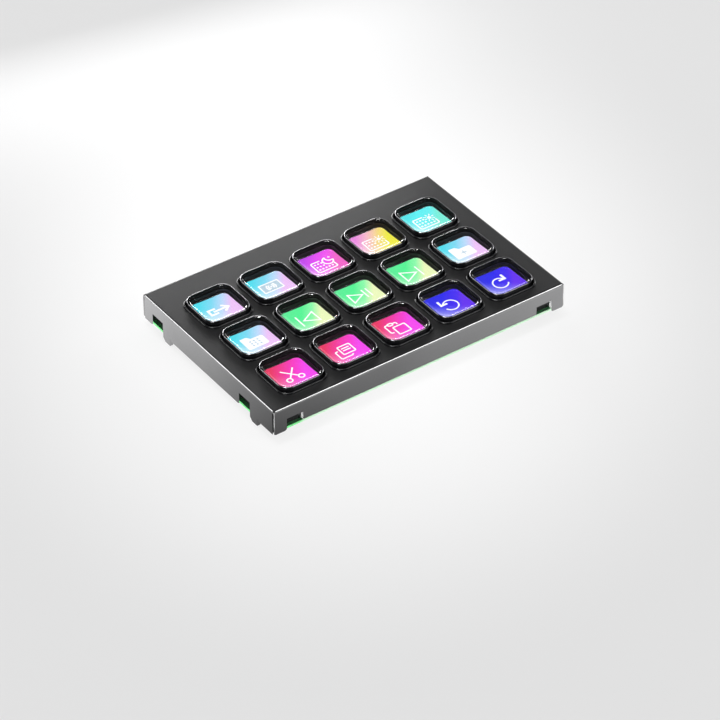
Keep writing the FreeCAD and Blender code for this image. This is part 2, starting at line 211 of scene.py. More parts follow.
def placed(name, data, *finishes):
    obj = bpy.data.objects.new(name, data)
    bpy.context.scene.collection.objects.link(obj)
    for finish in finishes:
        data.materials.append(finish)
    return obj


def skin(form, loops, ends=()):
    # Faces from each loop of points to the next, and one over each end
    for end in ends:
        form.faces.new(end)
    count = len(loops[0])
    return [form.faces.new((first[k], first[(k + 1) % count], last[(k + 1) % count], last[k]))
            for first, last in zip(loops, loops[1:]) for k in range(count)]


def closed_mesh(form, mesh):
    # The form as a mesh whose faces all look outwards
    bmesh.ops.recalc_face_normals(form, faces=form.faces)
    form.to_mesh(mesh)
    form.free()
    return mesh


cover_finish, tree = finish_named("folded_cover")
place, height, shade = grained(tree, 7.0, 0.05, 0.22)
across, along, level = split(tree, place)
coated = ranged(tree, level, (coat_edge - coat_fade, coat_edge))
metal_height = mixed(tree, 0.45, height, lined(tree, place, wall_lines, 4.0), "FLOAT")
turned_to = split(tree, add(tree, "ShaderNodeNewGeometry").outputs["True Normal"])
on_end, on_long_wall = [
    maths(tree, "GREATER_THAN", maths(tree, "ABSOLUTE", turned_to[axis]), squarely) for axis in "XY"]
out_x = maths(tree, "ABSOLUTE", across)
out_y = maths(tree, "ABSOLUTE", along)
# Painted highlight: the cut edges that face along the long walls are painted pale and matt, and so is the thin
# end of each long wall beside its seam, from its foot upwards.
cut_edge_highlight = all_of(tree, on_end, maths(tree, "LESS_THAN", out_x, cover_high.x - end_margin))
seam_side_highlight = all_of(tree, on_long_wall, ranged(tree, out_x, seam_highlight_strip),
                  maths(tree, "GREATER_THAN", out_y, cover_high.y - outer_skin),
                  ranged(tree, level, seam_highlight_fade), seam_highlight_share)
painted_highlight_mask = maths(tree, "MAXIMUM", cut_edge_highlight, seam_side_highlight)
feed(tree,
     base_color=mixed(tree, coated, mixed(tree, painted_highlight_mask, shaded(tree, bare_metal, shade), painted_highlight_pale),
                      shaded(tree, coat_black, shade)),
     metallic=mixed(tree, coated, mixed(tree, painted_highlight_mask, 1.0, 0.0, "FLOAT"), 0.0, "FLOAT"),
     roughness=mixed(tree, coated, mixed(tree, painted_highlight_mask, 0.24, 0.6, "FLOAT"), 0.33, "FLOAT"),
     normal=bumped(tree, mixed(tree, coated, metal_height, height, "FLOAT"), 0.012 * mm))
dress("top_cover", cover_finish)

# Painted shade: a dark bead fills each open corner seam, set back behind the walls, with a hollow face,
# standing in for the shade in the gap.
form = bmesh.new()
for side_x, side_y in four_ways:
    loops = [[form.verts.new((
        side_x * (cover_high.x - (u + inset) * mm), side_y * (cover_high.y - (u + v) * mm), z * mm))
        for u, v in bead_section] for z, inset in bead_levels]
    skin(form, loops, (loops[0], loops[-1]))
seam_shade_beads = placed("seam_shade_beads", closed_mesh(form, bpy.data.meshes.new("seam_shade_beads")), surface(
    "painted_seam_shade", (3.0, 0.3, 0.2), (0.018, 0.018, 0.019, 1), (0.5, 0.5), 0.02))
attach(seam_shade_beads, "base")


# Guide frame. A gloss black moulding under the cover, whose fifteen raised lips come up
# through the openings and steady the keys. The lips are rounded over, as a moulded edge is.

cap_boxes = [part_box("key_cap_%02d" % number) for number in range(1, 16)]
key_centres = [((low + high) / 2).xy for low, high in cap_boxes]
key_pitch = key_centres[1].x - key_centres[0].x
flange_half = (cap_boxes[0][1].x - cap_boxes[0][0].x) / 2
cap_half = flange_half - 1.1 * mm
cap_corner = 3.8 * mm
lip_gap = 0.28 * mm
lip_wall = 0.50 * mm
lip_corner = 3.38 * mm + lip_wall / 2
lip_skin = 0.02 * mm
lip_round = 0.22 * mm
lip_height = 1.4 * mm
lip_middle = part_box("guide_frame")[1].z + lip_skin - lip_height / 2

frame_finish = surface("gloss_black_moulding", (1.6, 0.1, 0.3), (0.008, 0.008, 0.009, 1), (0.14, 0.26), 0.006)
dress("guide_frame", frame_finish)


def growing_tree(name, inputs):
    return node_group("Geometry", name, {"Geometry": "Geometry", **inputs, "Finish": "Material"},
                      {"Geometry": "Geometry"})


def planted(tree, tree_in, tree_out, shape, **more):
    # A copy of the shape at each point, made real and painted
    copies = add(tree, "GeometryNodeInstanceOnPoints", {
        "Points": tree_in["Geometry"], "Instance": shape, **more})
    real = add(tree, "GeometryNodeRealizeInstances", {0: copies})
    painted = add(tree, "GeometryNodeSetMaterial", {"Geometry": real, "Material": tree_in["Finish"]})
    put(tree, painted, tree_out[0])


def grow(name, points, growing, values):
    # One point for each copy, turned into a plain mesh by the tree
    mesh = bpy.data.meshes.new(name)
    mesh.from_pydata(points, [], [])
    obj = placed(name, mesh)
    modifier = obj.modifiers.new(name, "NODES")
    modifier.node_group = growing
    for item in growing.interface.items_tree:
        if item.in_out == "INPUT" and item.name in values:
            modifier[item.identifier] = values[item.name]
    shape = obj.evaluated_get(bpy.context.evaluated_depsgraph_get())
    solid = bpy.data.meshes.new_from_object(shape)
    obj.modifiers.clear()
    form = bmesh.new()
    form.from_mesh(solid)
    obj.data = closed_mesh(form, solid)
    return obj


# A ring of rounded-square plan and rounded section, one round each point.
lips, lips_in, lips_out = growing_tree("rounded_square_rings", {
    "Across": 17 * mm, "Corner": 3 * mm, "Wall": 0.5 * mm, "Height": 1 * mm, "Edge": 0.2 * mm})
square = add(lips, "GeometryNodeCurvePrimitiveQuadrilateral", {
    "Width": lips_in["Across"], "Height": lips_in["Across"]})
rounded = add(lips, "GeometryNodeFilletCurve", {
    "Curve": square, "Count": 12, "Radius": lips_in["Corner"]}, mode="POLY")
upright = add(lips, "GeometryNodeSetCurveNormal", {"Curve": rounded}, mode="Z_UP")
section = add(lips, "GeometryNodeCurvePrimitiveQuadrilateral", {
    "Width": lips_in["Wall"], "Height": lips_in["Height"]})
soft_section = add(lips, "GeometryNodeFilletCurve", {
    "Curve": section, "Count": 5, "Radius": lips_in["Edge"]}, mode="POLY")
swept = add(lips, "GeometryNodeCurveToMesh", {"Curve": upright, "Profile Curve": soft_section})
planted(lips, lips_in, lips_out, add(lips, "GeometryNodeSetShadeSmooth", {"Geometry": swept}))

guide_lips = grow("guide_lips", [(c.x, c.y, lip_middle) for c in key_centres], lips, {
    "Across": 2 * (cap_half + lip_gap) + lip_wall, "Corner": lip_corner, "Wall": lip_wall,
    "Height": lip_height, "Edge": lip_round, "Finish": frame_finish})
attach(guide_lips, "base")


# Keys. Each is a thick clear block with a shallow dish in its top and a polished rim.
# Its sides, flange and skirt and the flat round its rim are moulded black round the clear block
# in a second shot, so the picture is seen only through the dish.

cap_top = cap_boxes[0][1].z
cap_foot = cap_boxes[0][0].z
flange_top = cap_foot + 0.8 * mm
flange_edge = 0.1 * mm
flange_fillet = 0.25 * mm
window_under = cap_top - 3.4 * mm
window_halves = (7.4 * mm, 5.0 * mm, 0.6 * mm)
skirt_half = cap_half - 0.5 * mm
skirt_bevel = 0.15 * mm
dish_inset = 1.02 * mm
dish_drop = 0.15 * mm
dish_depth = 0.20 * mm
dish_shares = (0.05, 0.15, 0.27, 0.39, 0.51, 0.62, 0.73, 0.83, 0.92, 1.0)
least_corner = 0.24  # of the half size
crease = math.radians(40)

clear_finish, tree = finish_named("clear_moulding")
place, height, shade = grained(tree, 0.5, 0.1, 0.1)
feed(tree, base_color=(1, 1, 1, 1), transmission_weight=1.0, ior=1.49,
     roughness=ranged(tree, height, (0, 1), (0.0, 0.01)), normal=bumped(tree, height, 0.0004 * mm))

# Where the black grips the clear block there is no gloss, so its inner side is dull.
side_finish, tree = finish_named("black_second_shot")
place, height, shade = grained(tree, 1.2, 0.2, 0.3)
from_inside = add(tree, "ShaderNodeNewGeometry").outputs["Backfacing"]
feed(tree, base_color=shaded(tree, (0.006, 0.006, 0.007, 1), shade),
     roughness=mixed(tree, from_inside, ranged(tree, height, (0, 1), (0.08, 0.18)), 0.95, "FLOAT"),
     normal=bumped(tree, height, 0.004 * mm))

# The rounded rim turns light back inside the clear block, so it gleams like a polished edge.
edge_finish = surface("gleaming_rim", (1.5, 0.2, 0.2), (0.24, 0.24, 0.25, 1), (0.03, 0.09), metallic=1.0)
skirt_finish = surface("skirt_inside", (3.0, 0.3, 0.2), (0.05, 0.05, 0.052, 1), (0.5, 0.5), 0.01)


def rounded_square(half_x, half_y, corner, steps):
    points = []
    for quarter, (sx, sy) in enumerate(((1, 1), (-1, 1), (-1, -1), (1, -1))):
        for step in range(steps + 1):
            angle = (quarter + step / steps) * math.pi / 2
            points.append((sx * (half_x - corner) + corner * math.cos(angle),
                           sy * (half_y - corner) + corner * math.sin(angle)))
    return points


def lofted(name, centre, rings, steps=9, hollow=False):
    # rings: half size across, half size along, corner, height and finish number of each ring
    form = bmesh.new()
    loops = []
    for half_x, half_y, corner, z, _ in rings:
        plan = rounded_square(half_x, half_y, corner, steps)
        loops.append([form.verts.new((centre.x + x, centre.y + y, z)) for x, y in plan])
    pairs = list(zip(loops, loops[1:], rings[1:]))
    if hollow:
        pairs.append((loops[-1], loops[0], rings[0]))
    for first, last, ring in pairs:
        for face in skin(form, (first, last)):
            face.material_index = ring[4]
            face.smooth = True
    if not hollow:
        form.faces.new(loops[0]).material_index = rings[0][4]
        form.faces.new(loops[-1]).material_index = rings[-1][4]
    return placed(name, closed_mesh(form, bpy.data.meshes.new(name)))


def offset(half, z, finish, of_half=cap_half, of_corner=cap_corner):
    # A square ring whose corner grows and shrinks with it
    return (half, half, max(of_corner + half - of_half, half * least_corner), z, finish)


def key_rings():
    clear, black, inside, edge = 0, 1, 2, 3
    rings = []
    for share in dish_shares:
        # The dish is round in the middle and squares up towards the rim
        half = (cap_half - dish_inset) * share
        corner = half * (1 - share) + (cap_corner - dish_inset) * share * share
        rings.append((half, half, corner, cap_top - dish_drop - dish_depth * (1 - share * share), clear))
    for finish, steps in (  # mm in from the cap's side and mm down from its top
            (clear, ((0.94, 0.125), (0.86, 0.088), (0.76, 0.042), (0.66, 0.013), (0.56, 0.0), (0.30, 0.0))),
            (black, ((0.22, 0.003),)),
            (edge, ((0.16, 0.014), (0.105, 0.037), (0.06, 0.070), (0.025, 0.115), (0.005, 0.17), (0.0, 0.22))),
            (black, ((0.0, 0.24), (0.0, 2.2)))):
        rings += [offset(cap_half - inset * mm, cap_top - deep * mm, finish) for inset, deep in steps]
    rings += [offset(half, z, black) for half, z in (
        (cap_half, flange_top + flange_fillet), (cap_half + 0.08 * mm, flange_top + 0.05 * mm),
        (cap_half + flange_fillet, flange_top), (flange_half - flange_edge, flange_top),
        (flange_half, flange_top - flange_edge), (flange_half, cap_foot + flange_edge),
        (flange_half - flange_edge, cap_foot), (skirt_half + flange_edge, cap_foot))]
    rings += [offset(half, z, inside) for half, z in (
        (skirt_half, cap_foot + flange_edge), (skirt_half, window_under - skirt_bevel),
        (skirt_half - skirt_bevel, window_under))]
    return rings + [offset(half, window_under, clear) for half in window_halves]


for number, centre in enumerate(key_centres, 1):
    cap = lofted("clear_key_%02d" % number, centre, key_rings(), steps=12)
    for finish in (clear_finish, side_finish, skirt_finish, edge_finish):
        cap.data.materials.append(finish)
    cap.data.set_sharp_from_angle(angle=crease)
    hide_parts("key_cap_%02d" % number)
    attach(cap, "key_%02d" % number)


# Displays. A small framed glass tile stands on a pedestal under each key: a folded metal tray
# with black masked cover glass proud of it, and the lit picture inside the mask.

glass_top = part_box("display_01")[1].z
glass_foot = glass_top - 0.5 * mm
glass_fade = 0.01 * mm
picture_half_x = 6.95 * mm
picture_half_y = 6.4 * mm
picture_corner = 2.0 * mm
picture_lift = 0.002 * mm
picture_thickness = 0.02 * mm
picture_strength = 1.15
gap_share = 0.12  # of a light point's cell, dark
gap_shade = 0.94
cap_shine = 0.012  # what the cap's own reflections add to every colour
darkest = 0.004

tile_finish, tree = finish_named("display_tile")
place, height, shade = grained(tree, 4.0, 0.2, 0.1)
glassy = ranged(tree, split(tree, place)["Z"], (glass_foot - glass_fade, glass_foot))
feed(tree,
     base_color=mixed(tree, glassy, shaded(tree, (0.42, 0.42, 0.43, 1), shade),
                      shaded(tree, (0.06, 0.058, 0.06, 1), shade)),
     metallic=mixed(tree, glassy, 1.0, 0.0, "FLOAT"), specular_ior_level=0.25,
     roughness=mixed(tree, glassy, 0.35, 0.1, "FLOAT"))

# How a picture's colours run across it, where a painted reflection pales it towards its lower left, and its
# fine grid of light points.
slant, slant_in, slant_out = node_group(
    "Shader", "picture_slant", {"UV": (0, 0, 0), "Across": 1.08, "Down": 0.66, "Start": 0.03, "Points": 96.0},
    {"Factor": "Float", "Points": "Float", "Painted reflection": "Float"})
across, upward, _ = split(slant, slant_in["UV"])
run = maths(slant, "MULTIPLY_ADD", across, slant_in["Across"], slant_in["Start"])
both = maths(slant, "MULTIPLY_ADD", maths(slant, "SUBTRACT", 1.0, upward), slant_in["Down"], run)
put(slant, maths(slant, "SUBTRACT", both, 0.3, use_clamp=True), slant_out["Factor"])
towards = maths(slant, "MULTIPLY_ADD", across, 0.75, upward)
put(slant, ranged(slant, towards, (0.9, 0.0), kind="SMOOTHSTEP"), slant_out["Painted reflection"])
many = vectors(slant, "SCALE", slant_in["UV"], Scale=slant_in["Points"])
cell = split(slant, vectors(slant, "FRACTION", many))
grid = all_of(slant, *[maths(slant, "GREATER_THAN", cell[axis], gap_share) for axis in "XY"])
put(slant, maths(slant, "MULTIPLY_ADD", grid, 1 - gap_shade, gap_shade), slant_out["Points"])


def linear(colour):
    # From screen colour to light, less the cap's shine
    return tuple(max(((c / 255 + 0.055) / 1.055) ** 2.4 - cap_shine, darkest) for c in colour) + (1,)


def lit_picture(name, painted_light, stops):
    material, tree = finish_named(name)
    run = add(tree, "ShaderNodeGroup", node_tree=slant)
    put(tree, add(tree, "ShaderNodeTexCoord").outputs["UV"], run.inputs["UV"])
    ramp = add(tree, "ShaderNodeValToRGB", {"Fac": run.outputs["Factor"]})
    while len(ramp.color_ramp.elements) < len(stops):
        ramp.color_ramp.elements.new(0.5)
    for element, (position, colour) in zip(ramp.color_ramp.elements, stops):
        element.position = position
        element.color = linear(colour)
    # Painted reflection: the picture's colour is mixed towards white at its lower left
    lit = mixed(tree, maths(tree, "MULTIPLY", run.outputs["Painted reflection"], painted_light), ramp, (1, 1, 1, 1))
    feed(tree, base_color=(0.002, 0.002, 0.002, 1), roughness=0.08, specular_ior_level=0.2,
         emission_color=shaded(tree, lit, run.outputs["Points"]), emission_strength=picture_strength)
    return material


sky = lit_picture("picture_sky", 0.7, [
    (0.0, (88, 224, 240)), (0.4, (132, 221, 246)), (0.72, (193, 221, 253)), (1.0, (240, 198, 249))])
dusk = lit_picture("picture_dusk", 0.45, [
    (0.0, (196, 80, 238)), (0.4, (232, 84, 246)), (0.72, (243, 92, 240)), (1.0, (243, 106, 202))])
dawn = lit_picture("picture_dawn", 0.5, [
    (0.0, (236, 140, 226)), (0.36, (247, 188, 204)), (0.72, (246, 220, 130)), (1.0, (240, 236, 76))])
pool = lit_picture("picture_pool", 0.6, [
    (0.0, (92, 232, 236)), (0.4, (99, 244, 247)), (0.75, (110, 243, 244)), (1.0, (126, 240, 220))])
leaf = lit_picture("picture_leaf", 0.4, [
    (0.0, (98, 240, 156)), (0.42, (90, 245, 152)), (0.74, (144, 250, 174)), (1.0, (238, 250, 192))])
rose = lit_picture("picture_rose", 0.22, [
    (0.0, (234, 66, 106)), (0.36, (244, 67, 158)), (0.75, (248, 70, 208)), (1.0, (246, 80, 240))])
deep = lit_picture("picture_deep", 0.4, [
    (0.0, (58, 58, 230)), (0.4, (57, 54, 240)), (0.85, (80, 56, 243)), (1.0, (106, 60, 241))])
picture_order = [sky, sky, dusk, dawn, pool, sky, leaf, leaf, leaf, sky, rose, rose, rose, deep, deep]

for number, centre in enumerate(key_centres, 1):
    dress("display_%02d" % number, tile_finish)
    low = glass_top + picture_lift
    picture = lofted("picture_%02d" % number, centre, [
        (picture_half_x, picture_half_y, picture_corner, low, 0),
        (picture_half_x, picture_half_y, picture_corner, low + picture_thickness, 0)])
    spread_out = picture.data.uv_layers.new(name="picture")
    for corner in picture.data.loops:
        at = picture.data.vertices[corner.vertex_index].co.xy - centre
        spread_out.data[corner.index].uv = (
            0.5 + at.x / (2 * picture_half_x), 0.5 + at.y / (2 * picture_half_y))
    picture.data.materials.append(picture_order[number - 1])
    for polygon in picture.data.polygons:
        polygon.use_smooth = False
    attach(picture, "base")


# Symbols on the pictures: white line drawings that the displays show, each a set of thin strokes
# lying on its picture. They are plain generic signs.

symbol_low = glass_top + 0.026 * mm
symbol_thickness = 0.02 * mm
symbol_strength = 1.2
line_width = 0.5  # mm, as are the drawings' own numbers
sharpest_mitre = 0.45
widths = {"bold": 1.6 * line_width, "line": line_width, "fine": 0.7 * line_width}
lifts = {"fill": 0.0, "panel": -0.004 * mm, "mark": 0.012 * mm}


def lit(name, colour):
    material, tree = finish_named(name)
    place, height, shade = grained(tree, 2.0, 0.3, 0.03)
    feed(tree, base_color=(0.02, 0.02, 0.02, 1), roughness=0.4, emission_strength=symbol_strength,
         emission_color=shaded(tree, colour, shade))
    return material


def arc(x, y, radius, first, last, steps=14):
    turns = [math.radians(first + (last - first) * k / steps) for k in range(steps + 1)]
    return [(x + radius * math.cos(turn), y + radius * math.sin(turn)) for turn in turns]


def frame_line(x, y, half_x, half_y, corner):
    return [(x + px, y + py) for px, py in rounded_square(half_x, half_y, corner, 4)]


def stroke(form, centre, points, closed, width):
    # A flat line of even width, mitred at its corners
    spots = [Vector(point) for point in points]
    count = len(spots)
    pairs = []
    for k, spot in enumerate(spots):
        before = spots[k - 1] if closed or k > 0 else None
        after = spots[(k + 1) % count] if closed or k < count - 1 else None
        runs = [run.normalized() for run in (
            spot - before if before else after - spot, after - spot if after else spot - before)]
        along = (runs[0] + runs[1]).normalized()
        side = Vector((-along.y, along.x)) * width / 2 / max(sharpest_mitre, along.dot(runs[0]))
        if not closed and k in (0, count - 1):
            spot = spot + along * width / 2 * (-1 if k == 0 else 1)
        pairs.append((spot + side, spot - side))
    corners = []
    for pair in pairs:
        corners.append([form.verts.new((centre.x + spot.x * mm, centre.y + spot.y * mm, z))
                        for z in (symbol_low, symbol_low + symbol_thickness) for spot in pair])
    last = count if closed else count - 1
    for k in range(last):
        a, b = corners[k], corners[(k + 1) % count]
        for i, j in ((0, 1), (1, 3), (3, 2), (2, 0)):
            form.faces.new((a[i], a[j], b[j], b[i]))
    if not closed:
        for end in (corners[0], corners[-1]):
            form.faces.new((end[0], end[1], end[3], end[2]))


def filled(form, centre, points, lift):
    levels = [[form.verts.new((centre.x + x * mm, centre.y + y * mm, z + lift)) for x, y in points]
              for z in (symbol_low, symbol_low + symbol_thickness)]
    skin(form, levels, levels)


def calendar(sky_sign, x):
    # The frame stops short of the sign at its upper right
    edge = [(x - 0.5, 2.3), (-3.3, 2.3), (-3.7, 1.9), (-3.7, -2.8), (-3.3, -3.2), (3.2, -3.2),
            (3.6, -2.8), (3.6, -1.0)]
    days = [(dx, y) for y in (1.1, -0.4, -1.9) for dx in (-2.6, -1.35, -0.1, 1.15, 2.4)
            if y < -1 or dx < (0 if y > 0 else 1)]
    squares = [("fill", frame_line(dx, y, 0.36, 0.33, 0.15)) for dx, y in days]
    return [("line", edge, False)] + squares + sky_sign


sun = [("fill", arc(2.25, 0.95, 0.72, 0, 337, 15))] + [
    ("fine", [(2.25 + a * math.cos(t), 0.95 + a * math.sin(t)) for a in (1.25, 1.85)], False)
    for t in [math.radians(45 * k + 12) for k in range(8)]]
moon = [("line", arc(2.4, 1.0, 1.85, 100, 352, 18), False), ("line", arc(3.5, 2.25, 1.5, 168, 280, 9), False),
        ("fill", [(3.7 + r * math.cos(t), 2.5 + r * math.sin(t)) for r, t in [
            ((0.66, 0.2)[k % 2], math.radians(45 * k)) for k in range(8)]])]
clip = [("line", frame_line(-1.2, 2.6, 0.85, 0.55, 0.4), True)]
folder = [("fill", [(-3.8, 2.8), (-3.5, 3.1), (-1.5, 3.1), (-1.0, 2.8), (-0.3, 1.75), (3.5, 1.7), (3.9, 1.3),
                    (3.9, -2.7), (3.5, -3.1), (-3.4, -3.1), (-3.8, -2.7)])]
symbols = [
    [("bold", [(-1.2, 0.85), (-3.5, 0.85), (-3.5, -1.75), (-1.2, -1.75)], False),
     ("bold", [(-1.7, -0.45), (3.4, -0.45)], False), ("bold", [(1.9, 1.0), (3.5, -0.45), (1.9, -1.9)], False)],
    [("panel", frame_line(0, 0.05, 3.5, 2.1, 0.1)), ("line", frame_line(0, 0.05, 3.6, 2.2, 0.15), True),
     ("fill", arc(0, 0, 0.36, 0, 330, 11)),
     ("line", arc(0, 0, 0.95, -52, 52, 6), False), ("line", arc(0, 0, 0.95, 128, 232, 6), False),
     ("line", arc(0, 0, 1.65, -42, 42, 6), False), ("line", arc(0, 0, 1.65, 138, 222, 6), False)],
    calendar(moon, 0.1), calendar(sun, 0.55), calendar(sun, 0.55),
    folder + [("mark", frame_line(x, y, 0.34, 0.34, 0.2))
              for x in (-1.3, 0.1, 1.5) for y in (0.5, -0.65, -1.8)],
    [("line", [(-1.75, -0.4), (3.0, 2.25), (3.0, -3.05)], True),
     ("line", [(-3.15, 2.4), (-3.15, -2.7)], False)],
    [("line", [(-3.5, 2.4), (0.95, 0.05), (-3.6, -2.35)], True),
     ("line", [(1.9, 2.1), (1.9, -2.0)], False), ("line", [(3.5, 2.1), (3.5, -2.0)], False)],
    [("line", [(-3.4, 2.35), (1.6, -0.3), (-3.4, -2.9)], True), ("line", [(2.85, 2.3), (2.85, -2.7)], False)],
    folder + [("mark", [(0.1 + x, -0.65 + y) for x, y in (
        (-0.2, 1.1), (0.2, 1.1), (0.2, 0.2), (1.1, 0.2), (1.1, -0.2), (0.2, -0.2), (0.2, -1.1), (-0.2, -1.1),
        (-0.2, -0.2), (-1.1, -0.2), (-1.1, 0.2), (-0.2, 0.2))])],
    [("line", [(-2.2, 2.8), (1.55, -1.55)], False), ("line", [(2.1, 2.6), (-1.35, -1.5)], False),
     ("line", arc(-2.1, -2.3, 0.95, 0, 345, 16), True), ("line", arc(2.3, -2.35, 0.95, 0, 345, 16), True)],
    [("line", frame_line(0.9, 0.55, 2.25, 2.1, 0.45), True), ("line", [(-0.3, 1.35), (2.1, 1.35)], False),
     ("line", [(-0.3, 0.25), (2.1, 0.25)], False),
     ("line", [(-2.4, 0.9), (-2.9, 0.9), (-3.2, 0.6), (-3.2, -2.8), (-2.9, -3.15), (0.8, -3.15),
               (1.2, -2.8)], False)],
    [("line", [(-2.4, 2.75), (-3.0, 2.75), (-3.4, 2.35), (-3.4, -1.1), (-3.0, -1.5), (-2.6, -1.5)], False),
     ("line", [(0.1, 2.75), (0.7, 2.75), (1.0, 2.4), (1.0, 1.9)], False),
     ("line", frame_line(0.85, -1.25, 2.2, 2.1, 0.3), True)] + clip,
    [("line", arc(0.25, -0.3, 2.6, 138, -152, 26), False),
     ("bold", [(-2.65, 2.9), (-2.65, 0.95), (-0.65, 1.0)], False)],
    [("line", arc(-0.3, -0.3, 2.6, 42, 330, 26), False),
     ("bold", [(2.35, 3.0), (2.35, 0.95), (0.4, 0.95)], False)],
]

symbol_finish = lit("lit_symbol", (0.97, 0.97, 0.98, 1))
panel_finish = lit("lit_panel", (0.46, 0.60, 0.70, 1))
for number, (centre, lines) in enumerate(zip(key_centres, symbols), 1):
    form = bmesh.new()
    for kind, *rest in lines:
        before = len(form.faces)
        if kind in lifts:
            filled(form, centre, rest[0], lifts[kind])
        else:
            stroke(form, centre, *rest, widths[kind])
        form.faces.ensure_lookup_table()
        for face in form.faces[before:]:
            face.material_index = 1 if kind in ("panel", "mark") else 0
    name = "symbol_%02d" % number
    symbol = placed(name, closed_mesh(form, bpy.data.meshes.new(name)), symbol_finish, panel_finish)
    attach(symbol, "base")


# Rubber domes. A thin flaring skirt of silicone rubber stands round each display on a rubber sheet.
# It lifts the key, and buckles when the key is pressed to close the contacts below.

dome_low, dome_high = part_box("dome_01")
dome_foot = dome_low.z
dome_rise = dome_high.z - dome_low.z
dome_half = (dome_high.x - dome_low.x) / 2
dome_corner = 4.6 * mm
dome_crease = math.radians(50)
dome_profile = [  # inset from the foot's outer edge and share of the height, up outside and down inside
    (0.0, 0.0), (0.0, 0.07), (0.10, 0.16), (0.20, 0.30), (0.30, 0.48), (0.40, 0.64), (0.50, 0.78),
    (0.60, 0.86), (0.68, 0.93), (0.70, 1.0), (1.18, 1.0), (1.17, 0.90), (1.06, 0.80), (0.92, 0.66),
    (0.80, 0.48), (0.68, 0.30), (0.56, 0.14), (0.50, 0.05), (0.50, 0.0)]

rubber_finish = surface("silicone_rubber", (5.0, 0.25, 0.25), (0.045, 0.045, 0.048, 1), (0.5, 0.7), 0.01,
                        sheen_weight=0.15)
dress("dome_sheet", rubber_finish)
for number, centre in enumerate(key_centres, 1):
    rings = [offset(dome_half - inset * mm, dome_foot + share * dome_rise, 0, dome_half, dome_corner)
             for inset, share in dome_profile]
    skirt = lofted("rubber_dome_%02d" % number, centre, rings, steps=8, hollow=True)
    skirt.data.materials.append(rubber_finish)
    skirt.data.set_sharp_from_angle(angle=dome_crease)
    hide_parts("dome_%02d" % number)
    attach(skirt, "base")
    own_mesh(skirt)


# Boards. The switch board is dark with gilt contacts under each dome. The main board is light green,
# with tinned pads, and closes the module from below. Both are etched glass-fibre laminate.

board_low, board_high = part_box("main_board")
track_share = 0.34
bare_fields = 0.28
vias_per_mm = 0.22
via_radius = 0.075
flat_face = 0.7
track_rise = 0.8
weave_per_m = 9000.0
# Painted light and shade on the main board's cut edge: where its glow starts, and the deeper green left end
painted_light_start = 0.25  # of the board's thickness
left_end = (-44.5 * mm, -46.5 * mm)
painted_shade_green = (0.14, 0.62, 0.20, 1)
painted_light_left = (0.10, 0.34, 0.13, 1)
no_painted_light = (0, 0, 0, 1)

# Lines of copper in fields that run one way or the other, and plated holes between them.
etched, etched_in, etched_out = node_group(
    "Shader", "etched_tracks", {"Vector": (0, 0, 0), "Track pitch": 1.0, "Field size": 6.0},
    {"Tracks": "Float", "Vias": "Float"})
in_mm = vectors(etched, "SCALE", etched_in["Vector"], Scale=1 / mm)
flat = vectors(etched, "MULTIPLY", in_mm, (1, 1, 0))
field = vectors(etched, "SCALE", flat, Scale=maths(etched, "DIVIDE", 1.0, etched_in["Field size"]))
chance = add(etched, "ShaderNodeTexWhiteNoise", {"Vector": vectors(etched, "FLOOR", field)}).outputs["Value"]
across, along, _ = split(etched, flat)
run = mixed(etched, maths(etched, "GREATER_THAN", chance, 0.5), across, along, "FLOAT")
part_way = maths(etched, "FRACT", maths(etched, "DIVIDE", run, etched_in["Track pitch"]))
tracks = all_of(etched, maths(etched, "LESS_THAN", part_way, track_share),
                maths(etched, "GREATER_THAN", chance, bare_fields))
spots = add(etched, "ShaderNodeTexVoronoi", {"Vector": flat, "Scale": vias_per_mm, "Randomness": 0.8})
put(etched, tracks, etched_out["Tracks"])
put(etched, maths(etched, "LESS_THAN", spots.outputs["Distance"], via_radius), etched_out["Vias"])


def laminate(name, mask_colour, track_colour, pad_colour, edge_colour, pads_at, pad_radius,
             painted_light=no_painted_light, span=(0, 0)):
    # Solder mask over etched copper on both faces, bare tinned rings round the holes, cut glass-fibre edges
    material, tree = finish_named(name)
    place, height, shade = grained(tree, 3.0, 0.06, 0.12)
    copper = add(tree, "ShaderNodeGroup", node_tree=etched)
    put(tree, place, copper.inputs["Vector"])
    turned_to = split(tree, add(tree, "ShaderNodeNewGeometry").outputs["True Normal"])
    face = maths(tree, "GREATER_THAN", maths(tree, "ABSOLUTE", turned_to["Z"]), flat_face)
    at = vectors(tree, "MULTIPLY", place, (1, 1, 0))
    pads = copper.outputs["Vias"]
    for x, y in pads_at:
        away = vectors(tree, "DISTANCE", at, (x, y, 0)).outputs["Value"]
        pads = maths(tree, "MAXIMUM", pads, maths(tree, "LESS_THAN", away, pad_radius))
    masked = mixed(tree, copper.outputs["Tracks"], shaded(tree, mask_colour, shade),
                   shaded(tree, track_colour, shade))
    top = mixed(tree, pads, masked, shaded(tree, pad_colour, shade))
    weave = noise(tree, place, weave_per_m, Detail=2.0)
    cut = shaded(tree, edge_colour, ranged(tree, weave, (0, 1), (0.86, 1.1)))
    # Painted light: the cut edge is given a glow towards its lower side, and painted shade makes it deeper
    # green at the left end
    across, along, level = split(tree, place)
    low, high = span
    lower = ranged(tree, level, (low + painted_light_start * (high - low), high), (1.0, 0.0))
    left = ranged(tree, across, left_end)
    edge_painted_light = mixed(tree, lower, no_painted_light, mixed(tree, left, painted_light, painted_light_left))
    raised = maths(tree, "MULTIPLY_ADD", copper.outputs["Tracks"], track_rise, height)
    feed(tree,
         base_color=mixed(tree, face, mixed(tree, left, cut, painted_shade_green), top),
         emission_color=mixed(tree, face, edge_painted_light, no_painted_light), emission_strength=0.0 if low == high else 1.0,
         metallic=maths(tree, "MULTIPLY", pads, face),
         roughness=mixed(tree, face, 0.7, 0.34, "FLOAT"),
         normal=bumped(tree, raised, 0.02 * mm))
    return material


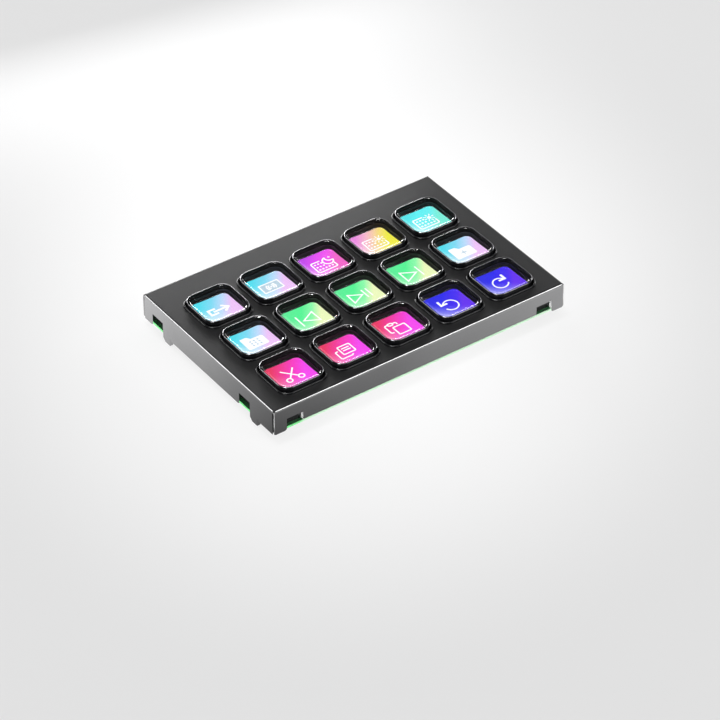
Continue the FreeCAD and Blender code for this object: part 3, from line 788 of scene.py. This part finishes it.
clamp_spots = [(x * key_pitch * 1.5, key_centres[7].y + y * key_pitch / 2) for x, y in four_ways]
mount_low, mount_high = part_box("mount_standoffs")
mount_radius = 1.5 * mm
mount_spots = [(x, y) for x in (mount_low.x + mount_radius, mount_high.x - mount_radius)
               for y in (mount_low.y + mount_radius, mount_high.y - mount_radius)]
# The main board's cut edge gets painted light, a glow towards its lower side
dress("main_board", laminate(
    "light_green_board", (0.010, 0.085, 0.022, 1), (0.020, 0.13, 0.040, 1), (0.62, 0.60, 0.56, 1),
    (0.40, 0.62, 0.42, 1), clamp_spots + mount_spots, 1.9 * mm,
    (0.31, 0.40, 0.32, 1), (board_low.z, board_high.z)))
stud_spots = [(c.x + way * key_pitch / 2, c.y + way * key_pitch / 2)
              for c in key_centres[6:9] for way in (1, -1)]
dress("switch_board", laminate(
    "dark_switch_board", (0.012, 0.02, 0.016, 1), (0.02, 0.035, 0.028, 1), (0.72, 0.50, 0.20, 1),
    (0.10, 0.085, 0.05, 1), stud_spots, 0.9 * mm))


# Display carrier. A dark glass-filled moulding between the boards, with a pedestal under each display.
# It is moulded in one piece, and the fibres lie along the flow of the melt.

dress("display_carrier", surface(
    "glass_filled_moulding", (2.2, 0.12, 0.2), (0.06, 0.058, 0.06, 1), (0.45, 0.65), 0.015, (900, 7000, 3000)))


# Board link. A moulded plug and header with gilt pins, pressed together between the two boards
# as they are stacked, and soldered to each.


def contacts(name, body_colour, metal_colour, pitch, share, start, body_rough=0.4):
    # Metal on stripes that repeat across the part, the moulding between them
    material, tree = finish_named(name)
    place, height, shade = grained(tree, 3.0, 0.2, 0.15)
    steps = maths(tree, "MULTIPLY_ADD", split(tree, place)["X"], 1 / pitch, start)
    metal = maths(tree, "LESS_THAN", maths(tree, "FRACT", steps), share)
    feed(tree,
         base_color=mixed(tree, metal, shaded(tree, body_colour, shade), shaded(tree, metal_colour, shade)),
         metallic=metal, roughness=mixed(tree, metal, body_rough, 0.3, "FLOAT"),
         normal=bumped(tree, height, 0.01 * mm))
    return material


dress("board_link", contacts(
    "pin_header", (0.02, 0.02, 0.02, 1), (0.75, 0.55, 0.22, 1), 1.27 * mm, 0.3, 0.5))


# Socket. A drawn stainless shell with soldered ears in a cut of the main board, and in it a black
# moulded tongue with gilt contacts.

dress("usb_shell", surface(
    "drawn_stainless", (6.0, 0.15, 0.15), (0.56, 0.56, 0.57, 1), (0.22, 0.36), 0.006, (9000, 500, 9000), 4.0,
    metallic=1.0))
dress("usb_tongue", contacts(
    "gilt_tongue", (0.015, 0.015, 0.016, 1), (0.80, 0.58, 0.22, 1), 0.5 * mm, 0.5, 0.25))


# Electronics under the main board: the processor, the memory beside it and two rows of small parts
# with tinned ends, all soldered down.

epoxy_finish = surface("chip_epoxy", (8.0, 0.3, 0.12), (0.022, 0.022, 0.024, 1), (0.42, 0.62), 0.012)
dress("processor_chip", epoxy_finish)
dress("memory_chip", epoxy_finish)
dress("board_passives", contacts(
    "tinned_ceramic", (0.20, 0.13, 0.075, 1), (0.66, 0.65, 0.62, 1), 2.6 * mm, 0.62, 0.8077, 0.5))

# Gull-wing legs: one strip at each point, its outer end flat on the board and its inner end
# bent down to the body, turned round where it stands on the near side.
legs, legs_in, legs_out = growing_tree("chip_legs", {
    "Width": 0.4 * mm, "Reach": 0.8 * mm, "Thickness": 0.15 * mm, "Drop": 0.4 * mm, "Middle": 0.0})
leg_size = add(legs, "ShaderNodeCombineXYZ", {
    "X": legs_in["Width"], "Y": legs_in["Reach"], "Z": legs_in["Thickness"]})
strip = add(legs, "GeometryNodeMeshCube", {"Size": leg_size, "Vertices X": 2, "Vertices Y": 9, "Vertices Z": 2})
along = split(legs, add(legs, "GeometryNodeInputPosition"))["Y"]
bend = ranged(legs, along, (0.0, maths(legs, "MULTIPLY", legs_in["Reach"], -0.5)), (0.0, legs_in["Drop"]),
              "SMOOTHSTEP")
moved = add(legs, "ShaderNodeCombineXYZ", {"Z": maths(legs, "MULTIPLY", bend, -1.0)})
bent = add(legs, "GeometryNodeSetPosition", {"Geometry": strip, "Offset": moved})
near_side = maths(legs, "LESS_THAN", along, legs_in["Middle"])
turn = add(legs, "ShaderNodeCombineXYZ", {"Z": maths(legs, "MULTIPLY", near_side, math.pi)})
planted(legs, legs_in, legs_out, bent, Rotation=turn)

memory_low, memory_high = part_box("memory_chip")
leg_pairs = 4
leg_out = 0.42 * mm
leg_level = memory_high.z - 0.09 * mm
leg_drop = (memory_high.z - memory_low.z) * 0.45
leg_points = [(memory_low.x + (memory_high.x - memory_low.x) * (k + 0.5) / leg_pairs, y, leg_level)
              for k in range(leg_pairs) for y in (memory_low.y - leg_out, memory_high.y + leg_out)]
memory_legs = grow("memory_legs", leg_points, legs, {
    "Width": 0.42 * mm, "Reach": 1.1 * mm, "Thickness": 0.16 * mm, "Drop": leg_drop,
    "Middle": (memory_low.y + memory_high.y) / 2,
    "Finish": surface("solder", (5.0, 0.5, 0.2), (0.62, 0.61, 0.58, 1), (0.18, 0.36), 0.02, metallic=1.0)})
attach(memory_legs, "base")


# Standoffs and screws. Turned brass standoffs are welded under the cover. Four take the clamping screws
# from below, and the four at the corners are left open for mounting.

brass_finish = surface("turned_brass", (5.0, 0.3, 0.15), (0.60, 0.44, 0.20, 1), (0.22, 0.4), 0.01,
                       (300, 300, 16000), metallic=1.0)
dress("clamp_standoffs", brass_finish)
dress("mount_standoffs", brass_finish)
dress("clamp_screws", surface(
    "zinc_screw", (6.0, 0.4, 0.2), (0.46, 0.46, 0.48, 1), (0.24, 0.42), 0.01, metallic=1.0))


# View and light. A pale floor, soft lamps above, behind and beside, and the camera
# at the photograph's angle.

azimuth = math.radians(-35.501)
elevation = math.radians(38.295)
view_distance = 1137.8 * mm
view_right = 1.911 * mm
view_up = -22.459 * mm
focal_pixels = 3585.5
picture_pixels = 720
sensor_width = 36
aim_depth = 0.25 * mm
nearest_seen = 0.05

back = Vector((math.sin(azimuth) * math.cos(elevation), -math.cos(azimuth) * math.cos(elevation),
               math.sin(elevation)))
right = Vector((math.cos(azimuth), math.sin(azimuth), 0))
target = Vector((0, 0, plate_top - aim_depth))
camera_data = bpy.data.cameras.new("camera")
camera_data.sensor_width = sensor_width
camera_data.lens = sensor_width * focal_pixels / picture_pixels
camera_data.clip_start = nearest_seen
camera = placed("camera", camera_data)
camera.rotation_euler = back.to_track_quat("Z", "Y").to_euler()
camera.location = target + back * view_distance + right * view_right + back.cross(right) * view_up
bpy.context.scene.camera = camera


def lamp(name, place, width, length, power):
    # An area lamp aimed at the middle of the part
    data = bpy.data.lights.new(name, "AREA")
    data.shape = "RECTANGLE"
    data.size = width
    data.size_y = length
    data.energy = power
    obj = placed(name, data)
    obj.location = place
    obj.rotation_euler = Vector(place).to_track_quat("Z", "Y").to_euler()


lamp("overhead", (-0.04, 0.10, 0.62), 0.12, 0.07, 1.1)
lamp("behind", (0.035, 0.175, 0.052), 0.20, 0.036, 0.265)

# The floor is pale. In the bright metal it shows a painted reflection, an emission that only mirrored rays see,
# darkest before the camera.
floor_reach = 3
white = (1, 1, 1, 1)
painted_reflection_reach = 110 * mm
# Where the painted pool of light on the floor is centred and how far it reaches
painted_pool_middle = (5.4 * mm, 9.8 * mm, 0)
painted_pool_reach = 145 * mm
paper_share = 0.85
floor_finish, tree = finish_named("pale_floor")
place, height, shade = grained(tree, 0.02, 0.004, 0.02)
shader = tree.nodes["Principled BSDF"]
feed(tree, base_color=shaded(tree, (0.86, 0.86, 0.865, 1), shade), roughness=0.9)
# Painted reflection: for mirrored rays the floor glows, dim near the part's front left corner and brighter away
# from it
from_corner = add(tree, "ShaderNodeMapping", {
    "Vector": place, "Location": (cover_low.x, cover_low.y, 0), "Scale": (2.3, 1, 1)}, vector_type="TEXTURE")
near = vectors(tree, "LENGTH", from_corner).outputs["Value"]
painted_reflection = add(tree, "ShaderNodeEmission", {
    "Color": white, "Strength": ranged(tree, near, (0.0, painted_reflection_reach), (0.16, 1.4))})
# Painted pool of light: for the camera the floor glows brightest near the part and dims away from it
from_painted_pool = add(tree, "ShaderNodeMapping", {
    "Vector": place, "Location": painted_pool_middle, "Rotation": (0, 0, azimuth), "Scale": (1, 1.29, 1)},
    vector_type="TEXTURE")
far = vectors(tree, "LENGTH", from_painted_pool).outputs["Value"]
painted_light_pool = add(tree, "ShaderNodeEmission", {
    "Color": white, "Strength": ranged(tree, far, (0, painted_pool_reach), (1.10, 0.68), "SMOOTHSTEP")})
path = add(tree, "ShaderNodeLightPath")
lighter = add(tree, "ShaderNodeMixShader", {0: paper_share, 1: shader, 2: painted_light_pool})
seen = add(tree, "ShaderNodeMixShader", {0: path.outputs["Is Camera Ray"], 1: shader, 2: lighter})
choice = add(tree, "ShaderNodeMixShader", {0: path.outputs["Is Glossy Ray"], 1: seen, 2: painted_reflection})
put(tree, choice, tree.nodes["Material Output"].inputs[0])
floor_mesh = bpy.data.meshes.new("floor")
floor_mesh.from_pydata([(x * floor_reach, y * floor_reach, 0) for x, y in four_ways], [], [(0, 2, 3, 1)])
floor = placed("floor", floor_mesh, floor_finish)

# Round the part stands a dim sky, a little lighter at the horizon and bright straight above,
# with soft lights in it that the metal, the lips and the caps mirror.
sky_stops = [(0.03, 0.16), (0.9, 0.05), (1.0, 1.0)]  # height of the direction and brightness
paper_white = (0.93, 0.93, 0.935, 1)
world = bpy.data.worlds.new("studio")
bpy.context.scene.world = world
world.use_nodes = True
tree = world.node_tree
direction = add(tree, "ShaderNodeTexCoord").outputs["Generated"]
sky_ramp = add(tree, "ShaderNodeValToRGB", {"Fac": split(tree, direction)["Z"]})
sky_ramp.color_ramp.elements.new(0.5)
for element, (position, level) in zip(sky_ramp.color_ramp.elements, sky_stops):
    element.position = position
    element.color = (level, level, level, 1)

# A round soft light in the distance: where it stands, the cosines at its bright middle and its edge,
# and its strength.
soft, soft_in, soft_out = node_group(
    "Shader", "distant_soft_light",
    {"Direction": (0, 0, 0), "Toward": (0, 0, 1), "Middle": 0.99, "Edge": 0.95, "Strength": 1.0},
    {"Light": "Float"})
unit = vectors(soft, "NORMALIZE", soft_in["Toward"])
nearness = vectors(soft, "DOT_PRODUCT", soft_in["Direction"], unit).outputs["Value"]
shape = ranged(soft, nearness, (soft_in["Edge"], soft_in["Middle"]), kind="SMOOTHSTEP")
put(soft, maths(soft, "MULTIPLY", shape, soft_in["Strength"]), soft_out["Light"])

soft_lights = [  # where it stands, the degrees to its bright middle and its edge, strength
    ((0.456, -0.62, 0.64), 9, 16, 6.2), ((0.11, 0.155, 0.98), 5, 10, 7.0), ((-0.62, 0.639, 0.455), 9, 16, 5.0),
    ((-0.80, -0.55, 0.20), 9, 17, 11.0),
    ((0.12, 0.975, 0.17), 7, 13, 13.0), ((-0.21, 0.91, 0.34), 6, 12, 10.0), ((0.28, 0.935, 0.21), 5, 11, 6.0),
    ((0.93, 0.16, 0.28), 7, 13, 13.0), ((0.86, 0.45, 0.24), 5, 11, 4.0),
    ((0.456, 0.863, 0.20), 5, 12, 3.0), ((0.60, 0.76, 0.24), 5, 12, 1.5), ((0.705, 0.639, 0.28), 5, 12, 1.0)]
total = sky_ramp
for toward, middle, edge, strength in soft_lights:
    made = add(tree, "ShaderNodeGroup", node_tree=soft)
    for label, value in (
            ("Direction", direction), ("Toward", toward), ("Middle", math.cos(math.radians(middle))),
            ("Edge", math.cos(math.radians(edge))), ("Strength", strength)):
        put(tree, value, made.inputs[label])
    total = vectors(tree, "ADD", total, made)
backdrop = tree.nodes["Background"]
put(tree, total, backdrop.inputs["Color"])
backdrop.inputs["Strength"].default_value = 1.0
paper = add(tree, "ShaderNodeBackground", {"Color": paper_white, "Strength": 1.0})
path = add(tree, "ShaderNodeLightPath")
choice = add(tree, "ShaderNodeMixShader", {0: path.outputs["Is Camera Ray"], 1: backdrop, 2: paper})
put(tree, choice, tree.nodes["World Output"].inputs[0])
bpy.context.scene.view_settings.view_transform = "Standard"
